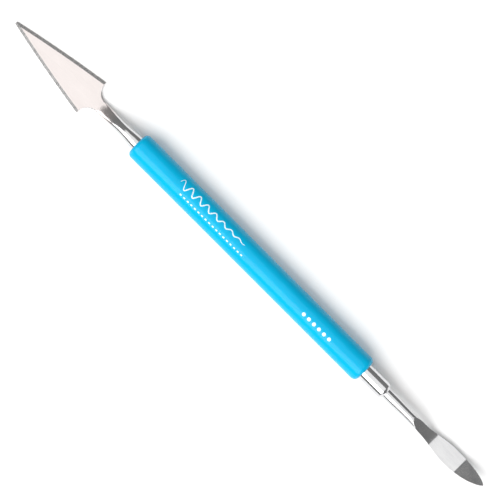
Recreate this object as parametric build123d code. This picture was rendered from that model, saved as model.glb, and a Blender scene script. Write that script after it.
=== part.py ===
from build123d import *
from math import cos, pi, sin, sqrt
import os

# Double-ended clay modeling tool: a spear blade and a leaf spatula in a round handle.
# Millimetres. The origin is on the handle's axis at mid-length, +X runs towards the spatula,
# -X towards the spear, and +Z is up when the tool lies on its handle and its flat spear blade.

# ---- Handle: a round bar with rounded ends and a blind bore in each end ----
handle_length = 100.0
handle_diameter = 9.0
handle_end_round = 1.5

# ---- Spear: each reach is a distance out along the tool from the handle's end face ----
bolster_diameter = 5.0
bolster_length = 8.4
neck_start_width = 3.8
neck_start_thickness = 3.2
crank_start = 0.6
flat_start = 14.0
neck_width = 4.0
neck_middle_thickness = 2.6
neck_flat_thickness = 1.8
neck_shoulder_thickness = 1.25
neck_end_share = 0.97
shoulder_start = 16.2
shoulder_width = 4.2
corner_reach = 20.6
spear_width = 13.2
apex_reach = 55.9
long_edge_bulge = 0.33
spear_tip_radius = 0.55
blade_thickness = 1.0
bevel_width = 0.95
bevel_depth = 0.7
tooth_count = 8
tooth_depth = 0.3

# ---- Spatula: a tapered round shank that flattens, twists level and turns up in a leaf ----
shank_diameter = 3.8
shank_end_diameter = 3.2
shank_taper_start = 12.0
shank_end = 20.3
dip_start = 21.8
swell_start = 25.5
flattened_by = 28.5
floor_start = 31.5
leaf_widest = 37.5
leaf_crease = 41.4
leaf_end = 51.0
leaf_width = 5.95
leaf_thickness = 0.9
leaf_tip_width = 0.9
leaf_tip_thickness = 0.22
leaf_drop = 3.25
leaf_tip_rise = 1.8
leaf_tip_lean = 0.9
lean_growth = 1.9
tip_fullness = 2.2
tip_bluntness = 0.7
leaf_squareness = 2.4
leaf_roll = -16.0

# ---- Ferrule: the sleeve round the spatula's shank ----
ferrule_diameter = 5.7
ferrule_stick_out = 9.5
ferrule_chamfer = 0.9
ferrule_depth = 13.0

# ---- Tangs and glue ----
bolster_shoulder = 0.5
spear_tang_length = 18.0
glue_gap = 0.3
glue_below_tang = 2.0
tang_beyond_ferrule = 6.0
groove_count = 3
groove_width = 0.8
groove_depth = 0.3
groove_pitch = 1.6

# ---- Sizes that follow ----
handle_radius = handle_diameter / 2
blade_drop = handle_radius - blade_thickness / 2
crank_length = corner_reach - crank_start
crank_radius = (crank_length**2 + blade_drop**2) / (4 * blade_drop)
spear_tang_diameter = bolster_diameter - 2 * bolster_shoulder
front_bore_diameter = spear_tang_diameter + 2 * glue_gap
front_bore_depth = spear_tang_length + glue_below_tang
spatula_tang_length = ferrule_depth + tang_beyond_ferrule
rear_bore_depth = spatula_tang_length + glue_below_tang

section_points = 24
leaf_section_count = 18


# ---- Shared shapes; each head is made pointing along +X from the origin ----
def bar(start, end, diameter):
    """A round bar along X from start to end."""
    return Pos(start, 0, 0) * extrude(Plane.YZ * Circle(diameter / 2), end - start)


def section(reach, side, height, width, thickness, squareness=2.0, roll=0.0):
    """A closed cross-section at this reach: an ellipse at squareness 2, more of a box above it."""
    place = Plane.YZ * Pos(side, height, reach) * Rot(0, 0, roll)
    if width == thickness:
        return place * Circle(width / 2)
    power = 2 / squareness
    points = []
    for step in range(section_points):
        across = cos(2 * pi * step / section_points)
        up = sin(2 * pi * step / section_points)
        y = width / 2 * abs(across) ** power * (1 if across > 0 else -1)
        z = thickness / 2 * abs(up) ** power * (1 if up > 0 else -1)
        points.append((y, z))
    return place * make_face(Spline(*points, periodic=True))


def cut_grooves(tang, inner_end, diameter):
    """Cuts the ring grooves that the glue grips, counted from the tang's inner end."""
    for index in range(groove_count):
        start = inner_end + groove_pitch * (index + 0.5)
        ring = bar(start, start + groove_width, diameter) - bar(
            start, start + groove_width, diameter - 2 * groove_depth
        )
        tang -= ring
    return tang


def at_spear_end(shape):
    """Moves a head from the origin to the handle's -X face, pointing along -X."""
    return Pos(-handle_length / 2, 0, 0) * Rot(0, 0, 180) * shape


def at_spatula_end(shape):
    """Moves a head from the origin to the handle's +X face."""
    return Pos(handle_length / 2, 0, 0) * shape


# ---- Spear ----
def crank_height(reach):
    """Height of the spear's centre line: level, then two equal arcs down to the blade."""
    run = min(max(reach - crank_start, 0), crank_length)
    if run < crank_length / 2:
        return sqrt(crank_radius**2 - run**2) - crank_radius
    left = crank_length - run
    return crank_radius - sqrt(crank_radius**2 - left**2) - blade_drop


def spear_neck():
    """The bolster's cone and the cranked neck, which turns from round to flat."""
    middle_width = (bolster_diameter + neck_start_width) / 2
    middle_thickness = (bolster_diameter + neck_start_thickness) / 2
    stations = [
        # reach, width, thickness, squareness
        (0.0, bolster_diameter, bolster_diameter, 2.0),
        (bolster_length / 2, middle_width, middle_thickness, 2.0),
        (bolster_length, neck_start_width, neck_start_thickness, 2.0),
        ((bolster_length + flat_start) / 2, (neck_start_width + neck_width) / 2, neck_middle_thickness, 2.3),
        (flat_start, neck_width, neck_flat_thickness, 3.2),
        (shoulder_start, shoulder_width * neck_end_share, neck_shoulder_thickness, 4.0),
        (corner_reach, shoulder_width * neck_end_share, blade_thickness * neck_end_share, 4.0),
    ]
    sections = []
    for reach, width, thickness, squareness in stations:
        sections.append(section(reach, 0, crank_height(reach), width, thickness, squareness))
    return loft(sections)


def spear_outline():
    """The blade from above: neck, concave shoulders, bulged long edges and a blunt tip."""
    shoulder = (shoulder_start, shoulder_width / 2)
    corner = (corner_reach, spear_width / 2)
    apex = (apex_reach, 0)
    neck_edge = Line((flat_start, neck_width / 2), shoulder)
    shoulder_edge = TangentArc(shoulder, corner, tangent=(1, 0))
    long_edge = SagittaArc(corner, apex, long_edge_bulge)
    half = make_face([neck_edge, shoulder_edge, long_edge, Line(apex, (flat_start, 0)),
                      Line((flat_start, 0), (flat_start, neck_width / 2))])
    whole = half + mirror(half, about=Plane.XZ)
    tip = whole.vertices().sort_by(Axis.X)[-1]
    return fillet(tip, spear_tip_radius), shoulder_edge, long_edge


def side_strip():
    """The blade from the side: an even strip along the crank's last arc and the flat."""
    arc_start = (flat_start, crank_height(flat_start))
    level = (corner_reach, -blade_drop)
    bend = TangentArc(level, arc_start, tangent=(-1, 0))
    flat = Line(level, (apex_reach, -blade_drop))
    strip = Plane.XZ * trace([bend, flat], blade_thickness)
    return extrude(strip, spear_width, both=True)


def bevel_cutter(long_edge):
    """A triangular bar along the long edge: what grinding takes off above the cutting edge."""
    top = blade_thickness / 2 - blade_drop
    clear = bevel_depth
    rise = clear * bevel_depth / bevel_width
    profile = make_face(Polyline((-bevel_width, top), (clear, top - bevel_depth - rise),
                                 (clear, top + clear), (-bevel_width, top + clear),
                                 close=True))
    run_in = Line(long_edge @ 0 - long_edge % 0 * bevel_width, long_edge @ 0)
    path = Wire([run_in, long_edge])
    outwards = Vector(0, 0, 1).cross(long_edge % 0)
    plane = Plane(origin=run_in @ 0, x_dir=outwards, z_dir=long_edge % 0)
    return sweep(plane * profile, path=path)


def shoulder_teeth(shoulder_edge):
    """Small upright notches along one shoulder, like the strokes of a file."""
    notches = []
    for index in range(tooth_count):
        place = shoulder_edge @ ((index + 1) / (tooth_count + 1))
        notch = Cylinder(tooth_depth, handle_diameter)
        notches.append(Pos(place.X, place.Y, -blade_drop) * notch)
    return notches


def spear_blade():
    outline, shoulder_edge, long_edge = spear_outline()
    blade = extrude(outline, handle_diameter, both=True) & side_strip()
    cutter = bevel_cutter(long_edge)
    blade -= cutter
    blade -= mirror(cutter, about=Plane.XZ)
    for notch in shoulder_teeth(shoulder_edge):
        blade -= notch
    tang = cut_grooves(bar(-spear_tang_length, 0, spear_tang_diameter), -spear_tang_length,
                       spear_tang_diameter)
    return at_spear_end(spear_neck() + blade + tang)


# ---- Spatula ----
def smooth_step(low, high, value):
    """0 up to low, 1 beyond high, and an even S between them."""
    share = min(max((value - low) / (high - low), 0), 1)
    return share * share * (3 - 2 * share)


def leaf_width_at(reach):
    """The shank's width, swelling to the widest place and closing in to a blunt tip."""
    if reach < leaf_widest:
        return shank_end_diameter + (leaf_width - shank_end_diameter) * smooth_step(
            swell_start, leaf_widest, reach)
    along = (reach - leaf_widest) / (leaf_end - leaf_widest)
    return max(leaf_width * (1 - along**tip_fullness) ** tip_bluntness, leaf_tip_width)


def leaf_side_at(reach):
    """How far the leaf's middle leans to one side: nothing up to the widest place."""
    along = max((reach - leaf_widest) / (leaf_end - leaf_widest), 0)
    return leaf_tip_lean * along**lean_growth


def past_crease(reach):
    """Share of the way from the crease to the tip."""
    return max((reach - leaf_crease) / (leaf_end - leaf_crease), 0)


def leaf_height_at(reach):
    """Height of the leaf's middle: a dip from the shank, level, then straight up from the crease."""
    dip = -leaf_drop * smooth_step(dip_start, floor_start, reach)
    return dip + (leaf_drop + leaf_tip_rise) * past_crease(reach)


def leaf_thickness_at(reach):
    """The shank flattens to an even blade, which thins from the crease to the tip."""
    round_share = 1 - smooth_step(shank_end, flattened_by, reach)
    body = leaf_thickness + (shank_end_diameter - leaf_thickness) * round_share
    return body - (leaf_thickness - leaf_tip_thickness) * past_crease(reach)


def leaf_roll_at(reach):
    """The flattening starts with a twist, which has gone where the blade is flat."""
    return leaf_roll * smooth_step(shank_end, dip_start, reach) * (
        1 - smooth_step(dip_start, flattened_by, reach))


def leaf():
    """The flattened end: the shank twists level, dips to a belly and turns up to the tip."""
    sections = [section(shank_end, 0, 0, shank_end_diameter, shank_end_diameter)]
    for index in range(1, leaf_section_count):
        reach = shank_end + (leaf_end - shank_end) * index / (leaf_section_count - 1)
        sections.append(section(reach, leaf_side_at(reach), leaf_height_at(reach), leaf_width_at(reach),
                                leaf_thickness_at(reach), leaf_squareness, leaf_roll_at(reach)))
    return loft(sections)


def spatula_blade():
    taper = loft([
        section(shank_taper_start, 0, 0, shank_diameter, shank_diameter),
        section(shank_end, 0, 0, shank_end_diameter, shank_end_diameter),
    ])
    rod = cut_grooves(bar(-spatula_tang_length, shank_taper_start, shank_diameter),
                      -spatula_tang_length, shank_diameter)
    return at_spatula_end(rod + taper + leaf())


def rear_ferrule():
    sleeve = bar(-ferrule_depth, ferrule_stick_out, ferrule_diameter)
    outer_end = sleeve.edges().sort_by(Axis.X)[-1]
    sleeve = chamfer(outer_end, ferrule_chamfer)
    return at_spatula_end(sleeve - bar(-ferrule_depth, ferrule_stick_out, shank_diameter))


# ---- Handle and glue ----
def front_bore():
    return at_spear_end(bar(-front_bore_depth, 0, front_bore_diameter))


def rear_bore():
    return at_spatula_end(bar(-rear_bore_depth, 0, ferrule_diameter))


def handle():
    body = bar(-handle_length / 2, handle_length / 2, handle_diameter)
    body = fillet(body.edges().filter_by(GeomType.CIRCLE), handle_end_round)
    return body - front_bore() - rear_bore()


pieces = {
    "spear_blade": spear_blade(),
    "spatula_blade": spatula_blade(),
    "rear_ferrule": rear_ferrule(),
    "handle": handle(),
}
pieces["front_epoxy"] = front_bore() - pieces["spear_blade"]
pieces["rear_epoxy"] = rear_bore() - pieces["rear_ferrule"] - pieces["spatula_blade"]

os.makedirs("parts", exist_ok=True)
for name, shape in pieces.items():
    export_step(shape, f"parts/{name}.step")
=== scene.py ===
"""Looks of the double-ended clay modeling tool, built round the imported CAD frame."""
from math import atan2, cos, hypot, pi, radians, sin, sqrt

import bpy
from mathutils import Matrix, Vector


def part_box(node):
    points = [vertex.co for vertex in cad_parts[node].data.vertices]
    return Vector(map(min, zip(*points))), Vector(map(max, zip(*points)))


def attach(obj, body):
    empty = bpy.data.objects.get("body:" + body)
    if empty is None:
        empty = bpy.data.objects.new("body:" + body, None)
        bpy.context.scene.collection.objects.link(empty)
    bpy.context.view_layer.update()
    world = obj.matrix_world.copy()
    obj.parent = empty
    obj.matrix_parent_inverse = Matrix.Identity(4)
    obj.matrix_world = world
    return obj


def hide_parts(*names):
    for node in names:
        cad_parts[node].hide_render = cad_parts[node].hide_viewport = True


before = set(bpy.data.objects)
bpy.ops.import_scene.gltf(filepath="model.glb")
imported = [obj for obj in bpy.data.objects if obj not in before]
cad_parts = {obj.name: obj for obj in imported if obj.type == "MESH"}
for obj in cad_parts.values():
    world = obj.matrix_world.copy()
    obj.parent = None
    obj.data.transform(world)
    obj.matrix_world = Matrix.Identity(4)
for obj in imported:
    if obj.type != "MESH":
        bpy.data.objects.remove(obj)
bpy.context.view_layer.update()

MM = 0.001

# ---- Places that come from the frame, in millimetres ----
handle_low, handle_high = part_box("handle")
spear_low, spear_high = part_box("spear_blade")
spatula_low, spatula_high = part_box("spatula_blade")
ferrule_low, ferrule_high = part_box("rear_ferrule")
front_glue_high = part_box("front_epoxy")[1]
rear_glue_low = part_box("rear_epoxy")[0]

front_face = handle_low[0] / MM
rear_face = handle_high[0] / MM
handle_radius = handle_high[2] / MM
spear_reach = front_face - spear_low[0] / MM
spear_half_width = spear_high[1] / MM
rest_height = spear_low[2] / MM
spatula_reach = spatula_high[0] / MM - rear_face
leaf_half_width = spatula_high[1] / MM
ferrule_radius = ferrule_high[2] / MM
ferrule_start = ferrule_low[0] / MM
ferrule_end = ferrule_high[0] / MM


# ---- Mesh helpers ----
def make_piece(name, points, faces, material, sharp_degrees=28):
    """A mesh object from points in millimetres, smooth but for its sharp edges, on the body."""
    mesh = bpy.data.meshes.new(name)
    mesh.from_pydata([(x * MM, y * MM, z * MM) for x, y, z in points], [], faces)
    mesh.validate()
    mesh.shade_smooth()
    mesh.set_sharp_from_angle(angle=radians(sharp_degrees))
    mesh.materials.append(material)
    piece = bpy.data.objects.new(name, mesh)
    bpy.context.scene.collection.objects.link(piece)
    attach(piece, "root")
    return piece


def join_rings(rings, close_start=True, close_end=True):
    """Points and quads for equal rings in order, each end closed by a fan round its middle."""
    points = [point for ring in rings for point in ring]
    size = len(rings[0])
    faces = []
    for row in range(len(rings) - 1):
        for step in range(size):
            after = (step + 1) % size
            a, b = row * size + step, row * size + after
            faces.append((a, a + size, b + size, b))
    for closed, row, order in ((close_start, 0, 1), (close_end, len(rings) - 1, -1)):
        if not closed:
            continue
        ring = rings[row]
        middle = tuple(sum(point[axis] for point in ring) / size for axis in range(3))
        points.append(middle)
        for step in range(size):
            pair = (row * size + step, row * size + (step + 1) % size)
            faces.append((*pair[::order], len(points) - 1))
    return points, faces


def lathe(profile, segments):
    """Rings round the X axis for a profile of (x, radius) pairs."""
    turns = [2 * pi * step / segments for step in range(segments)]
    return [[(x, radius * cos(a), radius * sin(a)) for a in turns] for x, radius in profile]


def curve_through(stations):
    """A function that passes smoothly through (place, value) stations without overshooting."""
    places = [place for place, value in stations]
    values = [value for place, value in stations]
    last = len(places) - 1
    rises = [(values[i + 1] - values[i]) / (places[i + 1] - places[i]) for i in range(last)]
    slopes = [rises[0]]
    for before, after in zip(rises, rises[1:]):
        level = before * after <= 0
        slopes.append(0.0 if level else 2 * before * after / (before + after))
    slopes.append(rises[-1])

    def value_at(place):
        place = min(max(place, places[0]), places[-1])
        index = 0
        while index < last - 1 and place > places[index + 1]:
            index += 1
        span = places[index + 1] - places[index]
        t = (place - places[index]) / span
        start = (1 + 2 * t) * (1 - t) ** 2 * values[index] + t * (1 - t) ** 2 * span * slopes[index]
        end = t * t * (3 - 2 * t) * values[index + 1] + t * t * (t - 1) * span * slopes[index + 1]
        return start + end

    return value_at


def spread(low, high, count):
    """count evenly spaced numbers from low to high."""
    return [low + (high - low) * step / (count - 1) for step in range(count)]


def smooth_step(low, high, value):
    t = min(max((value - low) / (high - low), 0), 1)
    return t * t * (3 - 2 * t)


def superellipse(angle, half_width, half_height, squareness):
    """A point on a rounded section: an ellipse at squareness 2, more of a box above it."""
    power = 2 / squareness
    across = half_width * abs(cos(angle)) ** power * (1 if cos(angle) >= 0 else -1)
    up = half_height * abs(sin(angle)) ** power * (1 if sin(angle) >= 0 else -1)
    return across, up


# ---- Materials ----
class Shader:
    """A node material with a few shorthands, so each material reads as a recipe."""

    def __init__(self, name):
        self.material = bpy.data.materials.new(name)
        self.material.use_nodes = True
        self.nodes = self.material.node_tree.nodes
        self.links = self.material.node_tree.links
        self.surface = self.nodes["Principled BSDF"]
        self.place = self.nodes.new("ShaderNodeTexCoord").outputs["Object"]

    def set(self, **sockets):
        for name, value in sockets.items():
            self.surface.inputs[name.replace("_", " ")].default_value = value

    def stretch(self, x, y, z):
        """The object's coordinates, scaled along each axis."""
        node = self.nodes.new("ShaderNodeMapping")
        node.inputs["Scale"].default_value = (x, y, z)
        self.links.new(self.place, node.inputs["Vector"])
        return node.outputs["Vector"]

    def noise(self, vector, scale, detail=4.0, roughness=0.55):
        node = self.nodes.new("ShaderNodeTexNoise")
        node.inputs["Scale"].default_value = scale
        node.inputs["Detail"].default_value = detail
        node.inputs["Roughness"].default_value = roughness
        self.links.new(vector, node.inputs["Vector"])
        return node.outputs["Fac"]

    def ramp(self, value, low, high, low_out, high_out):
        """value from low..high mapped to low_out..high_out, held at both ends."""
        node = self.nodes.new("ShaderNodeMapRange")
        limits = {"From Min": low, "From Max": high, "To Min": low_out, "To Max": high_out}
        for name, number in limits.items():
            node.inputs[name].default_value = number
        self.links.new(value, node.inputs["Value"])
        return node.outputs["Result"]

    def maths(self, operation, first, second):
        node = self.nodes.new("ShaderNodeMath")
        node.operation = operation
        for socket, value in zip(node.inputs, (first, second)):
            if isinstance(value, (int, float)):
                socket.default_value = value
            else:
                self.links.new(value, socket)
        return node.outputs["Value"]

    def mix(self, factor, first, second):
        """Colour first where factor is 0, second where it is 1."""
        node = self.nodes.new("ShaderNodeMix")
        node.data_type = "RGBA"
        self.links.new(factor, node.inputs["Factor"])
        for socket, colour in ((node.inputs["A"], first), (node.inputs["B"], second)):
            if isinstance(colour, tuple):
                socket.default_value = (*colour, 1)
            else:
                self.links.new(colour, socket)
        return node.outputs["Result"]

    def use(self, name, value):
        self.links.new(value, self.surface.inputs[name])

    def bump(self, height, distance, strength=1.0):
        node = self.nodes.new("ShaderNodeBump")
        node.inputs["Distance"].default_value = distance
        node.inputs["Strength"].default_value = strength
        self.links.new(height, node.inputs["Height"])
        self.links.new(node.outputs["Normal"], self.surface.inputs["Normal"])


def handle_plastic():
    """Glossy sky-blue moulded plastic: faint flow marks, fine handling scratches, soft ripple."""
    m = Shader("glossy_blue_plastic")
    m.set(IOR=1.5, Specular_IOR_Level=0.2)
    cloud = m.noise(m.stretch(0.25, 1, 1), 260)
    m.use("Base Color", m.mix(m.ramp(cloud, 0.3, 0.7, 0, 1), (0.0, 0.375, 0.620), (0.0, 0.410, 0.670)))
    scratches = m.noise(m.stretch(0.08, 1, 1), 5200, detail=2)
    m.use("Roughness", m.ramp(scratches, 0.35, 0.75, 0.10, 0.20))
    ripple = m.noise(m.stretch(0.5, 1, 1), 420, detail=2)
    m.bump(m.maths("ADD", ripple, m.maths("MULTIPLY", scratches, 0.05)), 0.00001, 0.5)
    return m.material


def polished_steel():
    """Buffed stainless steel: long fine polishing lines and slightly uneven gloss."""
    m = Shader("polished_steel")
    m.set(Metallic=1.0)
    tone = m.noise(m.stretch(0.3, 1, 1), 350)
    m.use("Base Color", m.mix(m.ramp(tone, 0.3, 0.7, 0, 1), (0.60, 0.60, 0.61), (0.70, 0.70, 0.70)))
    lines = m.noise(m.stretch(0.04, 1, 1), 6500, detail=3)
    m.use("Roughness", m.ramp(lines, 0.3, 0.75, 0.09, 0.20))
    m.bump(lines, 0.000001, 0.25)
    return m.material


def turned_steel():
    """Polished sleeve: turning marks run round it."""
    m = Shader("turned_steel")
    m.set(Metallic=1.0)
    tone = m.noise(m.stretch(1, 0.3, 0.3), 300)
    m.use("Base Color", m.mix(m.ramp(tone, 0.3, 0.7, 0, 1), (0.62, 0.62, 0.63), (0.71, 0.71, 0.72)))
    rings = m.noise(m.stretch(1, 0.02, 0.02), 9000, detail=2)
    m.use("Roughness", m.ramp(rings, 0.3, 0.7, 0.08, 0.17))
    m.bump(rings, 0.000001, 0.25)
    return m.material


def spear_steel():
    """Buffed neck that passes gradually into a lengthwise satin flat with a faint warm tone."""
    m = Shader("spear_steel")
    m.set(Metallic=1.0)
    axes = m.nodes.new("ShaderNodeSeparateXYZ")
    m.links.new(m.place, axes.inputs["Vector"])
    polish_end = (front_face - 9.5) * MM
    satin_start = (front_face - 12.5) * MM
    satin = m.ramp(axes.outputs["X"], polish_end, satin_start, 0, 1)
    tone = m.ramp(m.noise(m.stretch(0.4, 1, 1), 160), 0.3, 0.7, 0, 1)
    buffed_colour = m.mix(tone, (0.60, 0.60, 0.61), (0.70, 0.70, 0.70))
    satin_colour = m.mix(tone, (0.74, 0.68, 0.66), (0.79, 0.73, 0.71))
    m.use("Base Color", m.mix(satin, buffed_colour, satin_colour))
    lines = m.noise(m.stretch(0.03, 1, 1), 7000, detail=3)
    buffed_roughness = m.ramp(lines, 0.3, 0.75, 0.09, 0.20)
    m.use("Roughness", m.maths("ADD", buffed_roughness, m.maths("MULTIPLY", satin, 0.06)))
    m.bump(lines, 0.000003, 0.5)
    return m.material


def ground_steel():
    """The spear's bevels: coarser grinding marks that run across the edge."""
    m = Shader("ground_steel")
    m.set(Metallic=1.0)
    strokes = m.noise(m.stretch(1, 0.12, 0.12), 5200, detail=3)
    m.use("Base Color", m.mix(m.ramp(strokes, 0.3, 0.7, 0, 1), (0.72, 0.715, 0.71), (0.86, 0.85, 0.84)))
    m.use("Roughness", m.ramp(strokes, 0.3, 0.7, 0.24, 0.34))
    m.bump(strokes, 0.000006, 0.7)
    return m.material


def white_ink():
    """Screen-printed white ink, a little thin and worn in spots."""
    m = Shader("white_ink")
    m.set(Roughness=0.45)
    grain = m.noise(m.stretch(1, 1, 1), 3200, detail=3)
    m.use("Base Color", m.mix(m.ramp(grain, 0.3, 0.62, 0, 1), (0.46, 0.74, 0.86), (0.90, 0.94, 0.95)))
    m.bump(grain, 0.000003, 0.4)
    return m.material


def cured_epoxy():
    """Amber glue, hidden inside the handle."""
    m = Shader("cured_epoxy")
    m.set(Roughness=0.3, IOR=1.55)
    cloud = m.noise(m.stretch(1, 1, 1), 700)
    m.use("Base Color", m.mix(cloud, (0.50, 0.38, 0.16), (0.66, 0.53, 0.26)))
    m.bump(cloud, 0.00002, 0.4)
    return m.material


def matte_paper():
    """The pale sheet the tool lies on."""
    m = Shader("matte_paper")
    m.set(Roughness=0.9, Specular_IOR_Level=0.2)
    grain = m.noise(m.stretch(1, 1, 1), 1500)
    m.use("Base Color", m.mix(grain, (0.91, 0.91, 0.91), (0.93, 0.93, 0.93)))
    return m.material


steel = polished_steel()
ground = ground_steel()
ink = white_ink()


# ---- Handle ----
def end_round(face, inwards, radius, steps=10):
    """The quarter-round between the handle's face and its side, from the face outwards."""
    turns = spread(0, pi / 2, steps)
    side = handle_radius - radius
    return [(face + inwards * radius * (1 - cos(t)), side + radius * sin(t)) for t in turns]


def build_handle():
    """A turned body with rounded ends; the bores are as wide and deep as what they hold."""
    rounding = 1.5
    mouth_break = 0.12
    bore_middle = 0.001
    side_rings = 80
    segments = 144
    front_bore_radius = front_glue_high[2] / MM
    front_bore_end = front_glue_high[0] / MM
    rear_bore_end = rear_glue_low[0] / MM
    profile = [(front_bore_end, bore_middle), (front_bore_end, front_bore_radius),
               (front_face + mouth_break, front_bore_radius), (front_face, front_bore_radius + mouth_break)]
    profile += end_round(front_face, 1, rounding)
    side = spread(front_face + rounding, rear_face - rounding, side_rings)
    profile += [(x, handle_radius) for x in side[1:-1]]
    profile += reversed(end_round(rear_face, -1, rounding))
    profile += [(rear_face, ferrule_radius + mouth_break), (rear_face - mouth_break, ferrule_radius),
                (rear_bore_end, ferrule_radius), (rear_bore_end, bore_middle)]
    body = make_piece("handle_body", *join_rings(lathe(profile, segments)), handle_plastic())
    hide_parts("handle")


# ---- Printed ornament ----
def wrap(x, around, lift):
    """A point on the handle's top: around is the distance along its curved side."""
    angle = around / handle_radius
    radius = handle_radius + lift
    return x, radius * sin(angle), radius * cos(angle)


def ink_strip(path, widths):
    """A closed strip of ink on the handle along (x, around) points with these widths."""
    film = 0.02
    rings = []
    for index, ((x, around), width) in enumerate(zip(path, widths)):
        before = path[max(index - 1, 0)]
        after = path[min(index + 1, len(path) - 1)]
        run = hypot(after[0] - before[0], after[1] - before[1])
        along = ((after[0] - before[0]) / run, (after[1] - before[1]) / run)
        half = width / 2
        edges = []
        for share in (-1, -0.5, 0, 0.5, 1):
            edges.append((x - along[1] * half * share, around + along[0] * half * share))
        top = [wrap(*edge, film) for edge in edges]
        bottom = [wrap(*edge, -film) for edge in reversed(edges)]
        rings.append(top + bottom)
    return join_rings(rings)


def merge(parts):
    """Several (points, faces) joined into one."""
    points, faces = [], []
    for part_points, part_faces in parts:
        base = len(points)
        points += part_points
        faces += [tuple(index + base for index in face) for face in part_faces]
    return points, faces


def printed_ripple():
    """A wavy line whose swing dies away along the handle."""
    start, end, middle = -32.0, -4.0, 1.3
    waves, points = 8, 320
    first_swing, last_swing, fading = 1.25, 0.2, 1.1
    thin, thickening, taper_rate = 0.14, 0.26, 8
    path, widths = [], []
    for share in spread(0, 1, points):
        turn = 2 * pi * waves * share
        swing = first_swing * (1 - share) ** fading + last_swing
        path.append((start + (end - start) * share, middle + swing * sin(turn)))
        taper = min(1, taper_rate * share, taper_rate * (1 - share))
        widths.append(thin + thickening * taper)
    return make_piece("printed_ripple", *ink_strip(path, widths), ink)


def printed_dashes():
    """An even row of short dashes below the ripple."""
    first, last, count = -29.5, -3.0, 18
    around, width, half_length = -1.7, 0.4, 0.35
    dashes = []
    for x in spread(first, last, count):
        path = [(x, around), (x + half_length, around), (x + 2 * half_length, around)]
        dashes.append(ink_strip(path, [width] * 3))
    return make_piece("printed_dashes", *merge(dashes), ink)


def printed_dots():
    """A short row of round dots near the spatula's end."""
    first, last, count = 24.0, 35.0, 6
    around, radius, least_width, steps = -0.9, 0.62, 0.05, 9
    dots = []
    for x in spread(first, last, count):
        turns = spread(0, pi, steps)
        path = [(x + radius * sin(t - pi / 2), around) for t in turns]
        dots.append(ink_strip(path, [max(2 * radius * sin(t), least_width) for t in turns]))
    return make_piece("printed_dots", *merge(dots), ink)


def build_print():
    """A generic ornament: a dying ripple over a row of dashes, and a short row of dots."""
    for piece in (printed_ripple(), printed_dashes(), printed_dots()):
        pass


# ---- Tangs: the glue grooves that both heads have inside the handle ----
groove_count = 3
groove_pitch = 1.6
groove_width = 0.8
groove_depth = 0.3


def tang_profile(inner_end, outwards, radius):
    """(x, radius) pairs from a tang's inner end past its grooves; outwards is 1 or -1 along X."""
    profile = [(inner_end, radius)]
    for index in range(groove_count):
        start = inner_end + outwards * groove_pitch * (index + 0.5)
        stop = start + outwards * groove_width
        floor = radius - groove_depth
        profile += [(start, radius), (start, floor), (stop, floor), (stop, radius)]
    return profile


# ---- Spear: reaches run out from the handle's front face, and y is mirrored by the turn ----
bolster_radius = 2.5
bolster_shoulder = 0.5
neck_radius = 1.9
bolster_length = 8.4
crank_start = 0.6
shoulder_start = 16.2
shoulder_half_width = 2.1
corner_reach = 20.6
apex_reach = 55.9
long_edge_bulge = 0.33
tip_radius = 0.55
blade_thickness = 1.0
bevel_width = 0.95
bevel_depth = 0.7
tooth_count = 8
tooth_depth = 0.3
stroke_slant = 0.7
stroke_closeness = 12
edge_break = 0.35
edge_break_depth = 0.25
flattening_start = 12.5
flattened_by = 17.5


def crank_height(reach):
    """Height of the spear's centre line: level, then two equal arcs down to the blade."""
    drop = -rest_height - blade_thickness / 2
    length = corner_reach - crank_start
    radius = (length**2 + drop**2) / (4 * drop)
    run = min(max(reach - crank_start, 0), length)
    if run < length / 2:
        return sqrt(radius**2 - run**2) - radius
    return radius - sqrt(radius**2 - (length - run) ** 2) - drop


neck_half_width = curve_through([(0, bolster_radius), (bolster_length, neck_radius), (14.0, 2.0),
                                 (shoulder_start, shoulder_half_width)])
neck_half_height = curve_through([(0, bolster_radius), (5.0, 2.05), (bolster_length, 1.6), (12.0, 1.22),
                                  (15.0, 0.78), (17.5, 0.55), (corner_reach, blade_thickness / 2)])
neck_squareness = curve_through([(0, 2), (bolster_length, 2), (11.2, 2.2), (14.0, 2.8), (shoulder_start, 4)])


def spear_edges():
    """Rows of (reach, half width, bevel width, tooth) from the neck to the tip."""
    neck_rows, rows_per_tooth, blade_rows = 90, 12, 150
    seam, tip_gap, crowding = 0.02, 0.01, 1.35
    rows = []
    for reach in spread(0, shoulder_start, neck_rows):
        rows.append((reach, neck_half_width(reach), edge_break, 0.0))
    rise = spear_half_width - shoulder_half_width
    run = corner_reach - shoulder_start
    radius = (run**2 + rise**2) / (2 * rise)
    last_turn = pi / 2 + atan2(rise - radius, run)
    samples = tooth_count * rows_per_tooth
    for step in range(1, samples + 1):
        turn = last_turn * step / samples
        stroke = 0.5 - 0.5 * cos(2 * pi * tooth_count * step / samples)
        rows.append((shoulder_start + radius * sin(turn), shoulder_half_width + radius * (1 - cos(turn)),
                     edge_break, tooth_depth * stroke))
    tip_centre = spear_reach - tip_radius
    length = spear_reach - corner_reach - (seam + tip_gap)
    for share in spread(0, 1, blade_rows):
        reach = corner_reach + seam + length * (1 - (1 - share) ** crowding)
        along = (reach - corner_reach) / (apex_reach - corner_reach)
        half = spear_half_width * (1 - along) + 4 * long_edge_bulge * along * (1 - along)
        if reach > tip_centre:
            half = min(half, sqrt(tip_radius**2 - (reach - tip_centre) ** 2))
        rows.append((reach, half, bevel_width, 0.0))
    return rows


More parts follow.
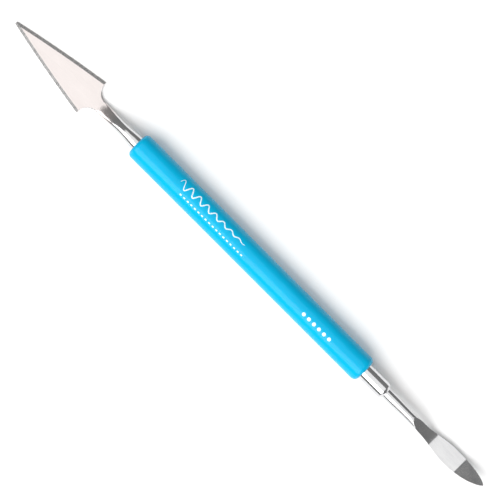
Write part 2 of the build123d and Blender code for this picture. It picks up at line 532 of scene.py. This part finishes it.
def spear_ring(reach, half, bevel, tooth):
    """One ring of the spear: round in the neck, and a flat bar with bevelled edges beyond it."""
    flat_spans, bevel_spans = 14, 3
    on_long_edge = bevel == bevel_width
    middle = crank_height(reach)
    half_height = neck_half_height(reach)
    blade = smooth_step(flattening_start, flattened_by, reach)
    inset = min(bevel, half)
    across = [-half + inset * s for s in spread(0, 1, bevel_spans + 1)]
    across += spread(-half + inset, half - inset, flat_spans + 1)[1:-1]
    across += [half - inset * s for s in spread(1, 0, bevel_spans + 1)]
    top = []
    for y in across:
        depth = bevel_depth if on_long_edge else edge_break_depth
        fall = depth * max(1 - (half - abs(y)) / bevel, 0)
        mound = (half_height - blade_thickness / 2) * max(1 - (y / half) ** 2, 0)
        top.append((y, middle + blade_thickness / 2 - fall + mound))
    if on_long_edge:
        bottom = [(y, middle - blade_thickness / 2) for y, z in reversed(top)]
    else:
        bottom = [(y, 2 * middle - z) for y, z in reversed(top)]
    flat_ring = top + bottom
    count = len(flat_ring)
    ring = []
    for index, (flat_y, flat_z) in enumerate(flat_ring):
        angle = pi - 2 * pi * (index + 0.5) / count
        round_y, round_z = superellipse(angle, half, half_height, neck_squareness(reach))
        y = flat_y * blade + round_y * (1 - blade)
        z = flat_z * blade + (round_z + middle) * (1 - blade)
        bite = tooth * stroke_slant * max(y / half, 0) ** stroke_closeness
        ring.append((front_face - reach - bite, -(y - bite), z))
    return ring


def build_spear():
    """The grooved tang, the cranked neck and the flat blade in one skin."""
    rings = [spear_ring(*row) for row in spear_edges()]
    count = len(rings[0])
    turns = [pi - 2 * pi * (index + 0.5) / count for index in range(count)]
    tang_radius = bolster_radius - bolster_shoulder
    profile = tang_profile(spear_high[0] / MM - front_face, -1, tang_radius) + [(0.0, tang_radius)]
    tang = []
    for depth, radius in profile:
        tang.append([(front_face + depth, -radius * cos(a), radius * sin(a)) for a in turns])
    points, faces = join_rings(tang + rings)
    spear = make_piece("spear_head", points, faces, spear_steel())
    spear.data.materials.append(ground)
    paint_spear(spear.data)
    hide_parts("spear_blade")


def paint_spear(mesh):
    """Grinding marks on the long bevels and the broken shoulder edges."""
    steepest, flattest = 0.25, 0.93
    ground_slot = 1
    for face in mesh.polygons:
        on_blade = face.center.x / MM < front_face - shoulder_start
        if on_blade and steepest < face.normal.z < flattest:
            face.material_index = ground_slot


# ---- Spatula: reaches run out from the handle's rear face ----
shank_radius = 1.9
shank_end_radius = 1.6
taper_start = 12.0
shank_end = 20.3
leaf_waist_radius = 1.68
facet_full = 25.5
swell_start = 25.5
leaf_widest = 37.5
leaf_tip_lean = 0.85
lean_growth = 1.9
tip_fullness = 2.2
tip_bluntness = 0.7
crease = 41.4
leaf_floor = -2.8
tip_height = 1.9
facet_roll = -16
roll_full = 22.0
roll_fades = 23.0
roll_gone = 28.5

# Height of the leaf's upper face: down from the shank, level, then up from the crease to the tip.
upper_face = curve_through([(shank_end, shank_end_radius), (21.5, 1.42), (29.6, leaf_floor + 0.3),
                            (31.5, leaf_floor), (crease - 0.2, leaf_floor), (crease + 0.4, leaf_floor + 0.16),
                            (crease + 1.2, leaf_floor + 0.53), (spatula_reach, tip_height)])
belly_depth = curve_through([(0, shank_radius), (taper_start, shank_radius), (shank_end, shank_end_radius),
                             (30, 1.0), (crease, 0.85), (spatula_reach, 0.22)])


def leaf_outline(reach):
    """Middle line and half width: a tapering shank, a waist, a broad leaf and a leaning tip."""
    if reach < leaf_widest:
        taper = smooth_step(taper_start, shank_end, reach)
        shank = shank_radius + (leaf_waist_radius - shank_radius) * taper
        return 0.0, shank + (leaf_half_width - shank) * smooth_step(swell_start, leaf_widest, reach)
    along = min((reach - leaf_widest) / (spatula_reach - leaf_widest), 1.0)
    return leaf_tip_lean * along**lean_growth, leaf_half_width * (1 - along**tip_fullness) ** tip_bluntness


def spatula_ring(reach, segments):
    """Round in the shank; past its end, a flat facet on top and a rounded belly below."""
    middle, half = leaf_outline(reach)
    depth = belly_depth(reach)
    facet = smooth_step(shank_end, facet_full, reach)
    top = shank_end_radius * (1 - facet) if reach > shank_end else depth
    centre = upper_face(reach) - top if reach > shank_end else 0.0
    twisted = smooth_step(shank_end, roll_full, reach) * (1 - smooth_step(roll_fades, roll_gone, reach))
    roll = radians(facet_roll) * twisted
    ring = []
    for step in range(segments):
        angle = pi - 2 * pi * step / segments
        y = half * cos(angle)
        z = depth * sin(angle) if sin(angle) < 0 else min(depth * sin(angle), top)
        turned_y = y * cos(roll) - z * sin(roll)
        turned_z = y * sin(roll) + z * cos(roll)
        ring.append((rear_face + reach, middle + turned_y, centre + turned_z))
    return ring


def build_spatula():
    """The grooved tang, the round shank and the leaf in one skin."""
    segments = 96
    shank_rows, leaf_rows = 40, 240
    seam, tip_gap = 0.05, 0.02
    turns = [pi - 2 * pi * step / segments for step in range(segments)]
    rings = []
    for x, radius in tang_profile(spatula_low[0] / MM - rear_face, 1, shank_radius):
        rings.append([(rear_face + x, radius * cos(a), radius * sin(a)) for a in turns])
    reaches = spread(0, shank_end, shank_rows)
    reaches += spread(shank_end + seam, spatula_reach - tip_gap, leaf_rows)
    rings += [spatula_ring(reach, segments) for reach in reaches]
    spatula = make_piece("spatula_head", *join_rings(rings), steel, sharp_degrees=40)
    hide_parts("spatula_blade")


def build_ferrule():
    """The sleeve: a square end at the handle, a polished side and a chamfered nose."""
    chamfer = 0.9
    wall_break = 0.08
    side_rings = 30
    segments = 128
    profile = [(ferrule_start, shank_radius), (ferrule_start, ferrule_radius)]
    side_end = ferrule_end - chamfer - wall_break
    profile += [(x, ferrule_radius) for x in spread(ferrule_start, side_end, side_rings)[1:]]
    nose = ferrule_radius - chamfer
    profile += [(ferrule_end - chamfer + wall_break, ferrule_radius - wall_break),
                (ferrule_end, nose), (ferrule_end, shank_radius + wall_break),
                (ferrule_end - wall_break, shank_radius)]
    rings = lathe(profile, segments)
    points, faces = join_rings(rings + [rings[0]], close_start=False, close_end=False)
    sleeve = make_piece("ferrule_sleeve", points, faces, turned_steel())
    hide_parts("rear_ferrule")


build_handle()
build_print()
build_spear()
build_spatula()
build_ferrule()

glue = cured_epoxy()
for name in ("front_epoxy", "rear_epoxy"):
    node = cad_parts[name]
    node.data.materials.clear()
    node.data.materials.append(glue)


# ---- Stage: a pale sheet, plain soft lights and a camera straight above ----
def build_floor():
    """One pale sheet under the tool, which the steel mirrors as it is."""
    half = 6.0
    below_blade = 0.02
    height = (rest_height - below_blade) * MM
    mesh = bpy.data.meshes.new("sheet")
    corners = [(-half, -half, height), (half, -half, height), (half, half, height), (-half, half, height)]
    mesh.from_pydata(corners, [], [(0, 1, 2, 3)])
    mesh.materials.append(matte_paper())
    sheet = bpy.data.objects.new("sheet", mesh)
    bpy.context.scene.collection.objects.link(sheet)


def softbox(name, along, tilt, distance, size, brightness):
    """An area light, in metres, over x = along; tilt is degrees from straight up, + towards -Y."""
    watts_per_brightness = 4.0
    data = bpy.data.lights.new(name, "AREA")
    data.shape = "RECTANGLE"
    data.size, data.size_y = size
    data.energy = brightness * watts_per_brightness * data.size * data.size_y
    light = bpy.data.objects.new(name, data)
    angle = radians(tilt)
    light.location = (along, -distance * sin(angle), distance * cos(angle))
    light.rotation_euler = (angle, 0, 0)
    bpy.context.scene.collection.objects.link(light)


def build_lights():
    """A broad key softbox on the tool's -Y side, a weaker one overhead and an even grey room."""
    softbox("key", 0, 38, 1.0, (2.2, 0.78), 2.9)
    softbox("overhead", -0.15, -9, 1.2, (1.66, 1.1), 0.76)
    world = bpy.data.worlds.new("studio")
    bpy.context.scene.world = world
    world.use_nodes = True
    background = world.node_tree.nodes["Background"]
    background.inputs["Color"].default_value = (1.0, 1.0, 1.0, 1.0)
    background.inputs["Strength"].default_value = 0.24


def build_camera():
    """A long lens straight above; the tool runs from the upper left to the lower right."""
    span = 155.5 * MM
    middle_x, middle_y = -1.85 * MM, 1.4 * MM
    turn = 45
    data = bpy.data.cameras.new("camera")
    data.lens = 200
    data.sensor_width = 36
    data.clip_end = 20
    camera = bpy.data.objects.new("camera", data)
    bpy.context.scene.collection.objects.link(camera)
    distance = span * data.lens / data.sensor_width
    camera.location = (middle_x, middle_y, distance)
    camera.rotation_euler = (0, 0, radians(turn))
    bpy.context.scene.camera = camera


build_floor()
build_lights()
build_camera()
bpy.context.scene.view_settings.view_transform = "Standard"
